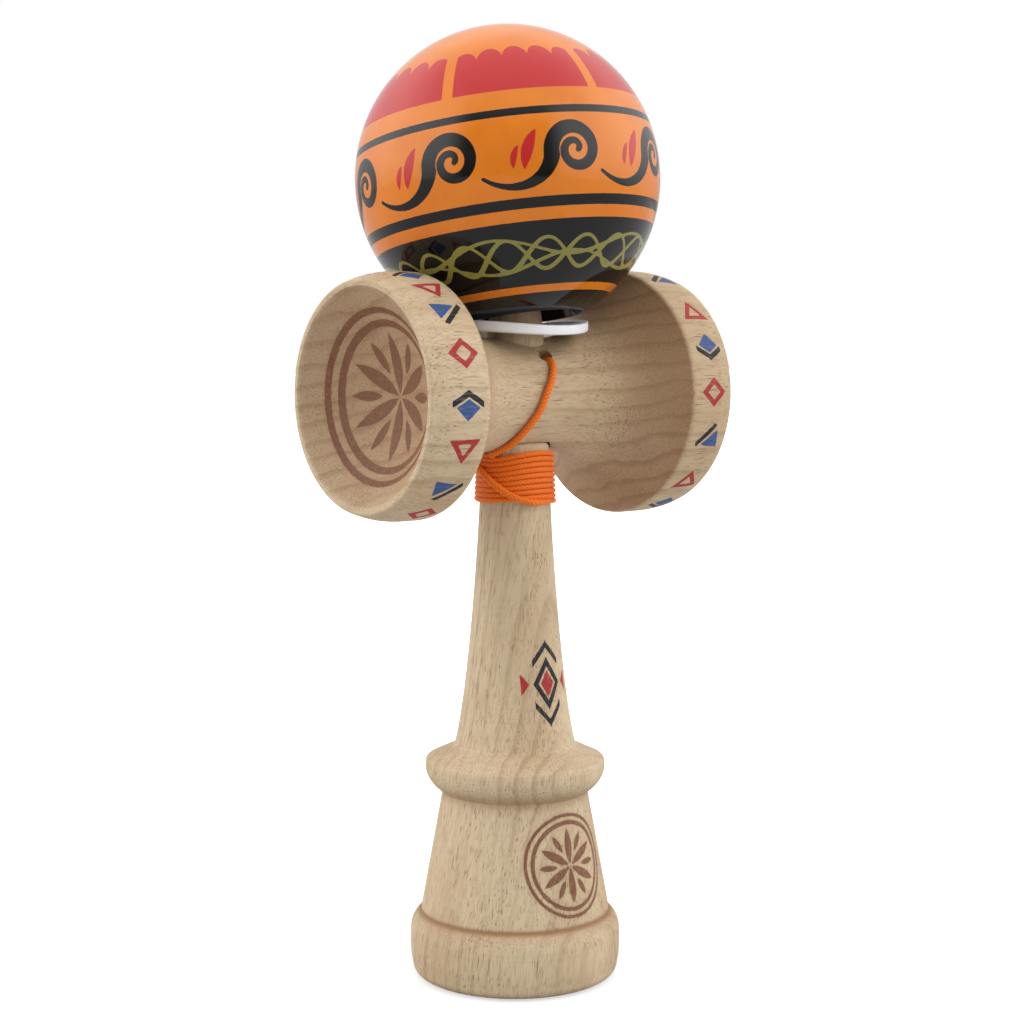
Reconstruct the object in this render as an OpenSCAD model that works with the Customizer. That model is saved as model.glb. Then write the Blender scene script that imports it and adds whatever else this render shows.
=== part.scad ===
// Kendama: a wooden ken (handle and spike), a pressed-on double cup (sarado), a lacquered ball (tama)
// that sits over the spike, a plastic spacer ring under the ball, and one string wound round the neck.
// Sizes are in millimetres. The ken's axis is Z, it stands on z = 0, and the double cup lies along X.

/* [Ken] */
// Largest radius of the base ring
base_r = 21.2; // [19:0.1:23]
// Height of the base ring, up to its groove
base_h = 12.9; // [11:0.1:15]
// Radius of the base cup's edge
base_cup_r = 16.6; // [14:0.1:17]
// Depth of the base cup
base_cup_depth = 8; // [5:0.1:10]
// Radius of the cone where it leaves the base ring
cone_low_r = 19; // [17:0.1:19.5]
// Radius of the cone under the collar
cone_top_r = 14.7; // [13.5:0.1:16]
// Height of the cone
cone_h = 24.3; // [20:0.1:28]
// Largest radius of the collar
collar_r = 18.1; // [17:0.1:20]
// Height of the collar
collar_h = 9; // [8:0.1:12]
// Radius of the shaft where it leaves the collar
shaft_low_r = 11.9; // [11:0.1:13]
// Radius of the neck that carries the winding
neck_r = 6.7; // [6.3:0.1:7.5]
// Length of the shaft from the collar to the shoulder
shaft_len = 61.4; // [55:0.1:70]
// Radius of the tang that the double cup is pressed on
tang_r = 5.65; // [5.2:0.05:5.9]
// Length of the spike above the double cup
spike_len = 35; // [30:0.5:40]
// Radius of the spike's tip
spike_tip_r = 2.2; // [1.5:0.1:3]

/* [Double cup] */
// Distance from the ken's axis to the rim of the small cup
small_cup_reach = 37.9; // [34:0.1:42]
// Distance from the ken's axis to the rim of the big cup
big_cup_reach = 36.9; // [34:0.1:42]
// Radius of the small cup at its rim
small_rim_r = 22.3; // [21:0.1:23]
// Radius of the big cup at its rim
big_rim_r = 24.1; // [23:0.1:25]
// Largest radius of the small cup
small_cup_r = 23.65; // [23:0.05:25]
// Largest radius of the big cup
big_cup_r = 24.95; // [24.5:0.05:26]
// Width of the small cup's outer band
small_band_w = 12.6; // [10:0.1:14]
// Width of the big cup's outer band
big_band_w = 11.4; // [9:0.1:13]
// Width of the rounded lip of both cups
lip_w = 1; // [0.6:0.1:2]
// Depth of the small bowl
small_bowl_depth = 9.5; // [6:0.1:11]
// Depth of the big bowl
big_bowl_depth = 10.5; // [7:0.1:11.5]
// Radius of the hub at its waist
hub_r = 11; // [10:0.1:12]
// Depth of the flat seat cut into the hub for the ken's shoulder
seat_depth = 1.6; // [1:0.1:2.5]
// Diameter of the string hole in the hub
string_hole_d = 3.6; // [3:0.1:4]
// Angle of the string hole above the horizontal
string_hole_angle = 46.5; // [35:0.5:60]
// Clearance of the pressed fit between the tang and the hub
press_gap = 0.02; // [0.01:0.01:0.05]

/* [Tama] */
// Diameter of the tama
tama_d = 60; // [56:0.5:64]
// Diameter of the tama's hole
hole_d = 22; // [20:0.5:24]
// Diameter of the bevelled mouth of the hole
mouth_d = 26.5; // [25:0.5:28]
// Wall that stays above the hole, measured along the tama's axis
crown_wall = 10; // [8:0.5:14]
// Diameter of the string hole through the crown
crown_hole_d = 4; // [3.5:0.1:6]
// Lean of the tama towards the back, about X
lean_back = 8.4; // [0:0.1:9]
// Lean of the tama towards the small cup, about Y
lean_side = 1.9; // [0:0.1:3]

/* [Spacer ring] */
// How far the ring reaches out past the rim of the tama's mouth
spacer_over = 1.25; // [0.5:0.25:1.75]
// Thickness of the ring
spacer_t = 1.7; // [1.4:0.05:2.5]
// Width of the ring, from its bore to its edge
spacer_w = 2.5; // [2:0.1:4.5]
// Radius that the ring is bowed to, between the two cups
spacer_bow_r = 70; // [50:1:120]
// Gap between the ring and what it rests on, and between the tama and the ring
rest_gap = 0.13; // [0.08:0.01:0.3]

/* [String] */
// Diameter of the string where it runs free
cord_d = 1.2; // [0.8:0.1:1.3]
// Turns of the winding
wrap_turns = 12; // [4:1:12]
// Rise of one turn
wrap_pitch = 0.89; // [0.87:0.005:0.92]
// Thickness of a wound turn, measured along the neck
wound_t = 0.46; // [0.3:0.02:0.48]
// Depth of a wound turn, measured out from the neck
wound_depth = 0.7; // [0.5:0.05:0.8]
// Diameter of the bead inside the tama
bead_d = 8; // [7:0.1:9]
// Hole through the bead
bead_hole_d = 2; // [1.8:0.1:2.4]
// Diameter of the knot under the bead
bead_knot_d = 3.8; // [3.2:0.1:4]
// Diameter of the knot held in the ken's pocket
ken_knot_d = 4; // [3.8:0.1:4.2]

/* [Hidden] */
$fn = 96;
wood = [0.77, 0.66, 0.53];
cord_orange = [0.86, 0.39, 0.1];
far = 200;

// Heights up the ken
collar_z = base_h + cone_h;
collar_top_z = collar_z + collar_h;
shoulder_z = collar_top_z + shaft_len;
cup_z = shoulder_z + hub_r - seat_depth;
spike_z = cup_z + hub_r + 0.4;
tip_z = spike_z + spike_len;

// Base ring, collar and shoulder forms
base_edge_r = 2.2;
base_draft = 0.45;
base_crown = 3.3;
shoulder_round = 0.9;
ledge_drop = 1.7;
spike_flare_h = 4;
spike_flare = 0.45;

// Double cup forms
small_edge = 1.7;
big_edge = 0.8;
flare_power = 3.6;
flare_steps = 20;
seat_gap = 0.3;

// The string hole's line crosses the double cup's axis here
string_hole_x = 1;
pocket_gap = 0.3;
ken_knot_s = 5.2;

// Resting places: the ring on the flares of both cups, and the rim of the tama's mouth on the ring
tama_r = tama_d / 2;
tama_shift = [-1.2, 0.85];
mouth_depth = sqrt(tama_r * tama_r - mouth_d * mouth_d / 4);
spacer_r = mouth_d / 2 + spacer_over;
spacer_bore_r = spacer_r - spacer_w;
spacer_z = cup_z + rest_gap + max([for (x = [spacer_bore_r : 0.25 : spacer_r]) flare_at(x) - bow(x)]);
tama_z = spacer_z + spacer_t + rest_gap + max([for (a = [0 : 5 : 355])
    let (p = mouth_rim(a), q = [p[0], p[1]] + tama_shift)
    if (norm(q) > spacer_bore_r && norm(q) < spacer_r) bow(q[0]) - p[2]]);
tama_at = [tama_shift[0], tama_shift[1], tama_z];
hole_end = tama_r - crown_wall;
bead_at = hole_end - bead_d / 2 - 0.3;
bead_knot_at = bead_at - bead_d / 2 - bead_knot_d / 2;

// Winding: it starts on the left of the neck and runs down, clockwise from above
wrap_gap = 0.12;
wrap_top_z = shoulder_z - 2.45;
wrap_start_angle = 190;
wrap_end_angle = 255;
loop_rings = 24;
wrap_sweep = (wrap_turns - 1) * 360 + 360 + wrap_start_angle - wrap_end_angle;
end_turn = 40;
end_lift = 0.85;
wrap_rings = floor(wrap_sweep / 360 * loop_rings);

// Route of the lead: out of the hub's hole, over the front of the hub and onto the neck's left side
lead_route = [[1, -5.1, 122.4], [1, -7, 124.4], [1, -8.3, 125.5], [1, -9.5, 125.5], [1, -10.4, 124.6],
    [0.9, -11, 123], [0.4, -11.6, 120.6], [-0.3, -11.9, 118.4], [-1, -11.9, 116.4], [-2.1, -11.6, 114],
    [-3.4, -10.6, 111.4], [-4.9, -8.5, 108.4], [-6.5, -5.6, 106.4], [-7.6, -3.2, 105.4], [-7.5, -2.1, 105.2],
    [-7.3, -1.4, 105.1]];

// Route of the riser: across the turns to the left, round to the back, up behind the double cup,
// over the back of the tama and into the hole in its crown
riser_route = [[-2.4, -8.1, 94.6], [-4.6, -7.3, 95.4], [-6.4, -5.8, 97.2], [-7.7, -3.8, 99.2],
    [-8.4, -1.4, 101.1], [-8.3, 1.2, 102.6], [-7.6, 3.6, 103.4], [-6.2, 5.8, 104.2], [-4.3, 7.8, 105],
    [-2.3, 9.6, 106.4], [-0.9, 11.3, 108.6], [-0.3, 12.3, 111.4], [0, 12.6, 114.4], [0, 12.6, 117.4],
    [0, 12.8, 120.4], [0, 13.5, 123.2], [0, 14.7, 126], [0, 16, 128.7], [0, 17.4, 131.4],
    [-0.4, 19.2, 133.7], [-0.8, 21.4, 135.8], [-1.2, 23.8, 138.1], [-1.2, 25.9, 140.6], [-1.2, 27.7, 143.3],
    [-1.2, 29.1, 146.3], [-1.2, 30.3, 149.3], [-1.2, 31.2, 152.4], [-1.2, 31.8, 155.6], [-1.2, 32, 158.8],
    [-1.2, 31.9, 162], [-1.2, 31.4, 165.2], [-1.2, 30.6, 168.4], [-1.2, 29.5, 171.4], [-1.2, 28.1, 174.3],
    [-1.2, 26.4, 177.1], [-1.2, 24.4, 179.6], [-1.2, 22.2, 182], [-1.3, 19.7, 184.1], [-1.5, 17, 185.9],
    [-1.7, 14.2, 187.5], [-1.9, 11.4, 188.8], [-2, 8.8, 189.5], [-2.1, 7, 189.1], [-2.2, 5.9, 187.9],
    [-2.1, 5.3, 186.1]];

// A point on a cubic curve, and the points along one
function cubic(a, b, c, d, t) =
    pow(1 - t, 3) * a + 3 * pow(1 - t, 2) * t * b + 3 * (1 - t) * t * t * c + pow(t, 3) * d;
function curve(a, b, c, d, n) = [for (i = [0 : n]) cubic(a, b, c, d, i / n)];

// Points on an arc, from angle a to angle b
function arc(centre, r, a, b, n) =
    [for (i = [0 : n]) centre + r * [cos(a + (b - a) * i / n), sin(a + (b - a) * i / n)]];

// Radius of the ball that a bowl is cut by
function bowl_ball(edge_r, depth) = (edge_r * edge_r + depth * depth) / (2 * depth);

// Radius of one side of the double cup at a distance x from the ken's axis: the waist, flaring to the band
function flare(x, band, cup_r, edge) =
    hub_r + (cup_r - edge - hub_r) * pow(x / (band - edge / 2), flare_power);
function flare_at(x) = max(flare(x, big_cup_reach - big_band_w, big_cup_r, big_edge),
                           flare(x, small_cup_reach - small_band_w, small_cup_r, small_edge));

// Rise of the bowed ring at a distance x from the ken's axis
function bow(x) = spacer_bow_r - sqrt(spacer_bow_r * spacer_bow_r - x * x);

// A point on the rim of the leaning tama's mouth, from the tama's centre
function mouth_rim(a) =
    let (x = mouth_d / 2 * cos(a), y = mouth_d / 2 * sin(a),
         z = -y * sin(lean_back) - mouth_depth * cos(lean_back))
    [x * cos(lean_side) - z * sin(lean_side), y * cos(lean_back) - mouth_depth * sin(lean_back),
     x * sin(lean_side) + z * cos(lean_side)];

// Frame along a route: the direction at each point, and two sides square to it
function unit(v) = v / norm(v);
function along(p, i) = unit(p[min(i + 1, len(p) - 1)] - p[max(i - 1, 0)]);
function side_of(d) = unit(cross(d, abs(d[2]) < 0.9 ? [0, 0, 1] : [0, 1, 0]));
function turned(side, d) = unit(side - d * (side * d));
function sides(p, i = 0, side = undef, out = []) =
    i == len(p) ? out :
    let (d = along(p, i), s = is_undef(side) ? side_of(d) : turned(side, d))
    sides(p, i + 1, s, concat(out, [s]));

// Triangles of a tube with closed ends
function tube_faces(rings, n) = concat(
    [for (i = [0 : rings - 2], k = [0 : n - 1]) [i * n + k, i * n + (k + 1) % n, (i + 1) * n + k]],
    [for (i = [0 : rings - 2], k = [0 : n - 1])
        [i * n + (k + 1) % n, (i + 1) * n + (k + 1) % n, (i + 1) * n + k]],
    [for (k = [1 : n - 2]) [0, k + 1, k]],
    [for (k = [1 : n - 2]) [(rings - 1) * n, (rings - 1) * n + k, (rings - 1) * n + k + 1]]);

// A round cord along a route
cord_sides = 8;
module cord(route, d) {
    side = sides(route);
    points = [for (i = [0 : len(route) - 1], k = [0 : cord_sides - 1])
        let (a = 360 * k / cord_sides, up = cross(along(route, i), side[i]))
        route[i] + d / 2 * (cos(a) * side[i] + sin(a) * up)];
    polyhedron(points, tube_faces(len(route), cord_sides), convexity = 6);
}

// Outline of the shaft, from the collar up to the neck, and its radius at a height
function shaft_curve() =
    curve([shaft_low_r, collar_top_z + 1.8], [shaft_low_r - 2.35, collar_top_z + 12],
          [neck_r + 0.4, shoulder_z - 20], [neck_r, shoulder_z - shoulder_round], 24);
function shaft_at(z) = lookup(z, [for (p = shaft_curve()) [p[1], p[0]]]);

// Half outline of the ken, from the base cup's centre up to the tip of the spike
function ken_outline() =
    let (ball = bowl_ball(base_cup_r, base_cup_depth),
         cup_angle = asin(base_cup_r / ball),
         foot_r = base_r - base_draft - base_edge_r,
         ledge_r = shaft_low_r + 1.3,
         collar_mid = collar_z + 0.6 * collar_h)
    concat(
        arc([0, base_cup_depth - ball], ball, 90, 90 - cup_angle, 12),
        arc([foot_r, base_edge_r], base_edge_r, -90, 0, 8),
        curve([base_r - base_draft, base_edge_r], [base_r + 0.1, base_h / 3],
              [base_r, base_h / 2], [base_r - 0.1, base_h - base_crown], 6),
        curve([base_r - 0.1, base_h - base_crown], [base_r - 0.3, base_h - 1.5],
              [cone_low_r + 1, base_h - 0.5], [cone_low_r + 0.1, base_h - 0.1], 8),
        [[cone_low_r, base_h + 0.3], [cone_top_r, collar_z]],
        curve([cone_top_r, collar_z + 0.2], [cone_top_r + 1.9, collar_z + 1.4],
              [collar_r, collar_z + 3.2], [collar_r, collar_mid], 10),
        curve([collar_r, collar_mid], [collar_r, collar_mid + 1.2],
              [collar_r - 0.3, collar_top_z - ledge_drop - 0.4],
              [collar_r - 1.3, collar_top_z - ledge_drop], 10),
        curve([ledge_r, collar_top_z], [ledge_r - 0.8, collar_top_z + 0.2],
              [shaft_low_r + 0.1, collar_top_z + 0.9], [shaft_low_r, collar_top_z + 1.8], 6),
        shaft_curve(),
        arc([neck_r - shoulder_round, shoulder_z - shoulder_round], shoulder_round, 0, 90, 6),
        [[tang_r, shoulder_z], [tang_r, spike_z]],
        [[tang_r - spike_flare, spike_z + spike_flare_h]],
        arc([0, tip_z - spike_tip_r], spike_tip_r, 10, 90, 8));

// Half outline of one cup, as distance along the axis and radius, from the waist out to the bowl's centre
function cup_outline(reach, rim_r, cup_r, band_w, edge, bowl_depth) =
    let (band = reach - band_w,
         bowl_r = rim_r - lip_w,
         ball = bowl_ball(bowl_r, bowl_depth),
         ball_x = reach - bowl_depth + ball,
         bowl_angle = asin(bowl_r / ball))
    concat(
        [for (i = [0 : flare_steps]) let (x = (band - edge / 2) * i / flare_steps)
            [x, flare(x, band, cup_r, edge)]],
        curve([band - edge / 3, cup_r - edge * 0.55], [band, cup_r - edge * 0.2],
              [band + edge * 0.3, cup_r - 0.05], [band + edge, cup_r], 6),
        curve([band + band_w * 0.4, cup_r], [band + band_w * 0.7, cup_r - 0.05],
              [reach - 1.6, rim_r + 0.35], [reach - lip_w / 2, rim_r], 10),
        arc([reach - lip_w / 2, rim_r - lip_w / 2], lip_w / 2, 75, 0, 4),
        [for (i = [0 : 14]) let (a = bowl_angle * (1 - i / 14))
            [ball_x - ball * cos(a), ball * sin(a)]]);

// Places a shape from the string hole's own line: along its Z, from the double cup's axis outwards
module on_string_hole() {
    translate([string_hole_x, 0, cup_z]) rotate([90 - string_hole_angle, 0, 0]) children();
}

// Places a shape on the tama's own axis
module on_tama() {
    translate(tama_at) rotate([-lean_back, -lean_side, 0]) children();
}

// One turned cup, with its axis along +X
module turned_cup(reach, rim_r, cup_r, band_w, edge, bowl_depth) {
    outline = cup_outline(reach, rim_r, cup_r, band_w, edge, bowl_depth);
    rotate([0, 90, 0]) rotate_extrude() polygon(concat([[0, 0]], [for (p = outline) [p[1], p[0]]]));
}

// Turned handle with its base cup, collar, neck and spike, and a pocket in the tang for the string's knot
module ken() {
    color(wood) difference() {
        rotate_extrude() polygon(ken_outline());
        on_string_hole() translate([0, 0, ken_knot_s - ken_knot_d / 2 - pocket_gap])
            cylinder(d = ken_knot_d + 2 * pocket_gap, h = far);
    }
}

// Double cup pressed on the tang, seated on the ken's shoulder
module sarado() {
    color(wood) translate([0, 0, cup_z]) difference() {
        union() {
            turned_cup(big_cup_reach, big_rim_r, big_cup_r, big_band_w, big_edge, big_bowl_depth);
            mirror([1, 0, 0]) turned_cup(small_cup_reach, small_rim_r, small_cup_r, small_band_w,
                small_edge, small_bowl_depth);
        }
        translate([0, 0, -far / 2]) cylinder(r = tang_r + press_gap, h = far);
        translate([0, 0, seat_depth - hub_r - far]) cylinder(r = neck_r + seat_gap, h = far);
        translate([string_hole_x, 0, 0]) rotate([90 - string_hole_angle, 0, 0])
            cylinder(d = string_hole_d, h = far);
    }
}

// Ball with its bevelled hole, and a string hole through the crown
module tama() {
    bevel_h = (mouth_d - hole_d) / 2;
    crown_bevel = 1;
    color([0.88, 0.48, 0.12]) on_tama() difference() {
        sphere(d = tama_d);
        translate([0, 0, hole_end - far]) cylinder(d = hole_d, h = far);
        translate([0, 0, -mouth_depth - bevel_h]) cylinder(d1 = mouth_d + 2 * bevel_h, d2 = hole_d - 0.01,
            h = 2 * bevel_h + 0.01);
        cylinder(d = crown_hole_d, h = far);
        translate([0, 0, tama_r - crown_bevel])
            cylinder(d1 = crown_hole_d, d2 = crown_hole_d + 4 * crown_bevel, h = 2 * crown_bevel);
    }
}

// Plastic ring round the spike, bowed over the hub, between the double cup and the tama
module spacer_ring() {
    color([0.93, 0.94, 0.96]) translate([0, 0, spacer_z]) intersection() {
        difference() {
            cylinder(r = spacer_r, h = far, center = true);
            cylinder(r = spacer_bore_r, h = far, center = true);
        }
        translate([0, 0, spacer_bow_r]) rotate([90, 0, 0]) difference() {
            cylinder(r = spacer_bow_r, h = far, center = true);
            cylinder(r = spacer_bow_r - spacer_t, h = far, center = true);
        }
        translate([0, 0, spacer_bow_r / 2 - 1]) cube([far, far, spacer_bow_r], center = true);
    }
}

// String from its knot, out of the hub and down to the winding
module string_lead() {
    color(cord_orange) cord(lead_route, cord_d);
}

// Centre of the winding at ring i: it leaves the neck at its end, to pass over the turns
function wrap_at(i) =
    let (turn = wrap_sweep * i / wrap_rings,
         a = wrap_start_angle - turn,
         z = wrap_top_z - wrap_pitch * turn / 360,
         lift = end_lift * pow(max(0, turn - wrap_sweep + end_turn) / end_turn, 2))
    [a, shaft_at(z - wound_t) + wrap_gap + wound_depth / 2 + lift, z];

// The six corners of a wound turn: a flat section, wider out from the neck than along it
turn_corners = [[1, 0], [0.5, 1], [-0.5, 1], [-1, 0], [-0.5, -1], [0.5, -1]];
function wrap_ring(i) =
    let (c = wrap_at(i), out = [cos(c[0]), sin(c[0]), 0])
    [for (q = turn_corners)
        (c[1] + q[0] * wound_depth / 2) * out + [0, 0, c[2] + q[1] * wound_t / 2]];

// Winding round the neck, one unbroken tube
module string_wrap() {
    points = [for (i = [0 : wrap_rings], p = wrap_ring(i)) p];
    color(cord_orange) polyhedron(points, tube_faces(wrap_rings + 1, len(turn_corners)), convexity = 10);
}

// Least gap between a turn and the turn below it, measured from corner to corner
wrap_points = [for (i = [0 : wrap_rings]) wrap_ring(i)];
least_gap = min([for (i = [0 : wrap_rings - loop_rings + 3], j = [loop_rings - 3 : loop_rings + 3])
    if (i + j <= wrap_rings) min([for (p = wrap_points[i], q = wrap_points[i + j]) norm(p - q)])]);
echo(winding_least_gap = least_gap);

// String from the winding, up the back, to the hole in the tama's crown
module string_riser() {
    color(cord_orange) cord(riser_route, cord_d);
}

// End of the string inside the tama, from the crown down through the bead to its knot
module string_tail() {
    tail_top = tama_r - 2.85;
    color(cord_orange) on_tama() translate([0, 0, bead_knot_at + bead_knot_d / 2])
        cylinder(d = cord_d, h = tail_top - bead_knot_at - bead_knot_d / 2);
}

// Bead that carries the tama on the string
module string_bead() {
    color([0.9, 0.85, 0.75]) on_tama() translate([0, 0, bead_at]) difference() {
        sphere(d = bead_d);
        translate([0, 0, -far / 2]) cylinder(d = bead_hole_d, h = far);
    }
}

// Knot that stops the string under the bead
module bead_knot() {
    color(cord_orange) on_tama() translate([0, 0, bead_knot_at]) sphere(d = bead_knot_d);
}

// Knot that stops the string inside the hub
module ken_knot() {
    color(cord_orange) on_string_hole() translate([0, 0, ken_knot_s]) sphere(d = ken_knot_d);
}

ken();
sarado();
tama();
spacer_ring();
string_lead();
string_wrap();
string_riser();
string_tail();
string_bead();
bead_knot();
ken_knot();
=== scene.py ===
"""Looks of the kendama: turned beech, a lacquered ball, a braided string and a plastic ring."""

import math

import bpy
import numpy as np
from mathutils import Matrix, Vector


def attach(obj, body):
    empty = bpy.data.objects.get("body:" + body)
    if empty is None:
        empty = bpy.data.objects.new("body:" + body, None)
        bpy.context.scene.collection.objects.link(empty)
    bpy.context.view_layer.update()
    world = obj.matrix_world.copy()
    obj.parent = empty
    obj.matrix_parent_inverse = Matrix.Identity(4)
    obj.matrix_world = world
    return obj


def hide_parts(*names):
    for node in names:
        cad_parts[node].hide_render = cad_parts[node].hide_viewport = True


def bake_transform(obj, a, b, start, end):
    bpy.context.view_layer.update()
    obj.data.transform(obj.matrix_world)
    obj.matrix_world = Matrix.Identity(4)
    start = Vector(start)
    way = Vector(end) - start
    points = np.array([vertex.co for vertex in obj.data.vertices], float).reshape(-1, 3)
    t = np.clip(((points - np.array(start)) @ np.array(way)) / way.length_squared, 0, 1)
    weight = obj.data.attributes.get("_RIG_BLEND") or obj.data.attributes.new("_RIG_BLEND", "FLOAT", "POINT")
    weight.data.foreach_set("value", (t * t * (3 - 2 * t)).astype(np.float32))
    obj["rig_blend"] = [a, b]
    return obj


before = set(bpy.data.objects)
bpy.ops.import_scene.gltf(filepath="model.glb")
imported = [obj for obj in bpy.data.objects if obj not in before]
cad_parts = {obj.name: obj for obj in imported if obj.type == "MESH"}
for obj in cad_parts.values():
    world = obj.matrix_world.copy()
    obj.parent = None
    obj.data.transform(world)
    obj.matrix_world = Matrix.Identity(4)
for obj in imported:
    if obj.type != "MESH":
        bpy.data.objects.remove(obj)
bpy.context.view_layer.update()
scene = bpy.context.scene
MM = 0.001

# Camera, fitted to the outlines in the photograph
IMAGE_PX, FOCAL_PX, SENSOR_MM = 1024, 1992.29, 36
DISTANCE, CAM_HEIGHT = 396.890, 127.927
PITCH, PAN, AZIMUTH = math.radians(4.9603), math.radians(-0.0881), math.radians(39.9936)

cam_data = bpy.data.cameras.new("camera")
cam_data.sensor_fit = "HORIZONTAL"
cam_data.sensor_width = SENSOR_MM
cam_data.lens = SENSOR_MM * FOCAL_PX / IMAGE_PX
cam_data.clip_start = 0.01
camera = bpy.data.objects.new("camera", cam_data)
scene.collection.objects.link(camera)
scene.camera = camera
heading = Vector((math.sin(AZIMUTH + PAN), math.cos(AZIMUTH + PAN), 0))
look = heading * math.cos(PITCH) - Vector((0, 0, 1)) * math.sin(PITCH)
right = Vector((heading.y, -heading.x, 0))
turn = Matrix((right, right.cross(look), -look)).transposed().to_4x4()
place = Vector((-DISTANCE * math.sin(AZIMUTH), -DISTANCE * math.cos(AZIMUTH), CAM_HEIGHT)) * MM
camera.matrix_world = Matrix.Translation(place) @ turn

# Sizes in mm, as in the part's source, apart from the lips, the shoulder's edge, the mouth, the ring's lean and the
# cord, which follow the photograph more closely here
BASE_R, BASE_H, BASE_CUP_R, BASE_CUP_DEPTH = 21.2, 12.9, 16.6, 8
CONE_LOW_R, CONE_TOP_R, COLLAR_Z, COLLAR_TOP, COLLAR_R = 19, 14.7, 37.2, 46.2, 18.1
SHAFT_LOW_R, NECK_R, SHOULDER_Z, SHOULDER_EDGE, TANG_R = 11.9, 6.7, 107.6, 1.0, 5.65
CUP_Z, SPIKE_Z, TIP_Z, TIP_R = 117.0, 128.4, 163.4, 2.2
HUB_R, LIP_W, FLARE_POWER = 11, 1.35, 3.6
SMALL_CUP = dict(reach=37.9, rim_r=22.3, cup_r=23.65, band_w=12.6, edge=1.7, depth=9.5)
BIG_CUP = dict(reach=36.9, rim_r=24.1, cup_r=24.95, band_w=11.4, edge=0.8, depth=10.5)
HOLE_D, HOLE_ANGLE, HOLE_X = 3.6, math.radians(46.5), 1
TAMA_R, TAMA_HOLE_R, MOUTH_R, HOLE_END, CROWN_R = 30, 11, 11.8, 20, 2
TAMA_AT = np.array([-1.2, 0.85, 159.219])
TAMA_DROP = np.array([0, 0, 0.1])
TAMA_AXIS = np.array([-0.032799, 0.146083, 0.988729])
RING_R, RING_BORE_R, RING_T, RING_EDGE, RING_Z = 14.5, 12, 1.9, 0.38, 128.3
BOW_R, RING_LEAN, RING_ROLL = 67, -0.03, 0.008
CORD_D, BEAD_KNOT_AT, BEAD_KNOT_D, KEN_KNOT_AT, KEN_KNOT_D = 1.36, 9.8, 3.8, 5.2, 4.0

# How finely the meshes are divided: vertices round each piece
KEN_ROUND, CUP_ROUND, TAMA_ROUND, RING_ROUND, CUTTER_ROUND = 400, 400, 600, 180, 72
CORD_STEP, CORD_SIDES, KNOT_STEPS, KNOT_SIDES = 0.16, 16, 160, 14

# Ornaments, in mm. NO_INK is a distance outside every drawn shape.
NO_INK = 9.0
CONE_MARK_Z, CONE_MARK_R, SHAFT_MARK_Z, BOWL_MARK_R = 24.9, 7.6, 60.2, 12.8


# Mesh helpers
def cubic(a, b, c, d, n):
    """Points on a Bezier curve."""
    t = np.linspace(0, 1, n + 1)[:, None]
    a, b, c, d = (np.array(p, float) for p in (a, b, c, d))
    return (1 - t) ** 3 * a + 3 * (1 - t) ** 2 * t * b + 3 * (1 - t) * t * t * c + t ** 3 * d


def arc(centre, r, a, b, n):
    """Points on a circle from angle a to angle b, in degrees."""
    t = np.radians(np.linspace(a, b, n + 1))
    return np.array(centre, float) + r * np.c_[np.cos(t), np.sin(t)]


def fine(points, step):
    """The polyline with no segment longer than step, a function of the segment's middle, and no doubled point."""
    out = [points[0]]
    for p, q in zip(points, points[1:]):
        n = max(1, math.ceil(np.linalg.norm(q - p) / step((p + q) / 2)))
        out += [p + (q - p) * k / n for k in range(1, n + 1)]
    keep = [out[0]]
    for p in out[1:]:
        if np.linalg.norm(p - keep[-1]) > 1e-4:
            keep.append(p)
    return np.array(keep)


def revolve(profile, n, closed=False):
    """Vertices and faces of a profile of (radius, height) turned round Z."""
    angle = np.arange(n) * 2 * math.pi / n
    verts, rings, count = [], [], 0
    for r, h in profile:
        if r < 1e-6:
            ring = np.array([[0, 0, h]])
        else:
            ring = np.c_[r * np.cos(angle), r * np.sin(angle), np.full(n, h)]
        verts.append(ring)
        rings.append((count, len(ring)))
        count += len(ring)
    faces = []
    here = np.arange(n)
    after = (here + 1) % n
    pairs = list(zip(rings, rings[1:]))
    if closed:
        pairs.append((rings[-1], rings[0]))
    for (i, ni), (j, nj) in pairs:
        if ni == nj:
            faces += np.c_[i + here, i + after, j + after, j + here].tolist()
        elif ni == 1:
            faces += np.c_[np.full(n, i), j + after, j + here].tolist()
        else:
            faces += np.c_[i + here, i + after, np.full(n, j)].tolist()
    return np.vstack(verts), faces


def loft(rings, closed=False):
    """Vertices and faces of a row of closed rings with equal counts. An open row gets end caps."""
    rings = np.asarray(rings)
    m, n = rings.shape[:2]
    here = np.arange(n)
    after = (here + 1) % n
    faces = []
    for i in range(m if closed else m - 1):
        a, b = i * n, (i + 1) % m * n
        faces += np.c_[a + here, a + after, b + after, b + here].tolist()
    if not closed:
        faces += [list(range(n))[::-1], list(range((m - 1) * n, m * n))]
    return rings.reshape(-1, 3), faces


def shade(mesh, sharp=32):
    """Smooth shading, with edges sharper than an angle in degrees kept."""
    mesh.polygons.foreach_set("use_smooth", [True] * len(mesh.polygons))
    mesh.set_sharp_from_angle(angle=math.radians(sharp))


def make(name, verts, faces, sharp=32):
    """A smooth-shaded mesh object from points in mm."""
    mesh = bpy.data.meshes.new(name)
    mesh.from_pydata((np.asarray(verts) * MM).tolist(), [], faces)
    shade(mesh, sharp)
    mesh.update()
    obj = bpy.data.objects.new(name, mesh)
    scene.collection.objects.link(obj)
    return obj


def points_of(obj):
    """The vertices of a mesh, in mm."""
    co = np.zeros(len(obj.data.vertices) * 3, np.float32)
    obj.data.vertices.foreach_get("co", co)
    return co.reshape(-1, 3).astype(float) / MM


def store(obj, name, values):
    """Keeps a number per vertex on the mesh for its material."""
    att = obj.data.attributes.new(name, "FLOAT", "POINT")
    att.data.foreach_set("value", np.asarray(values, np.float32))


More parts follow.
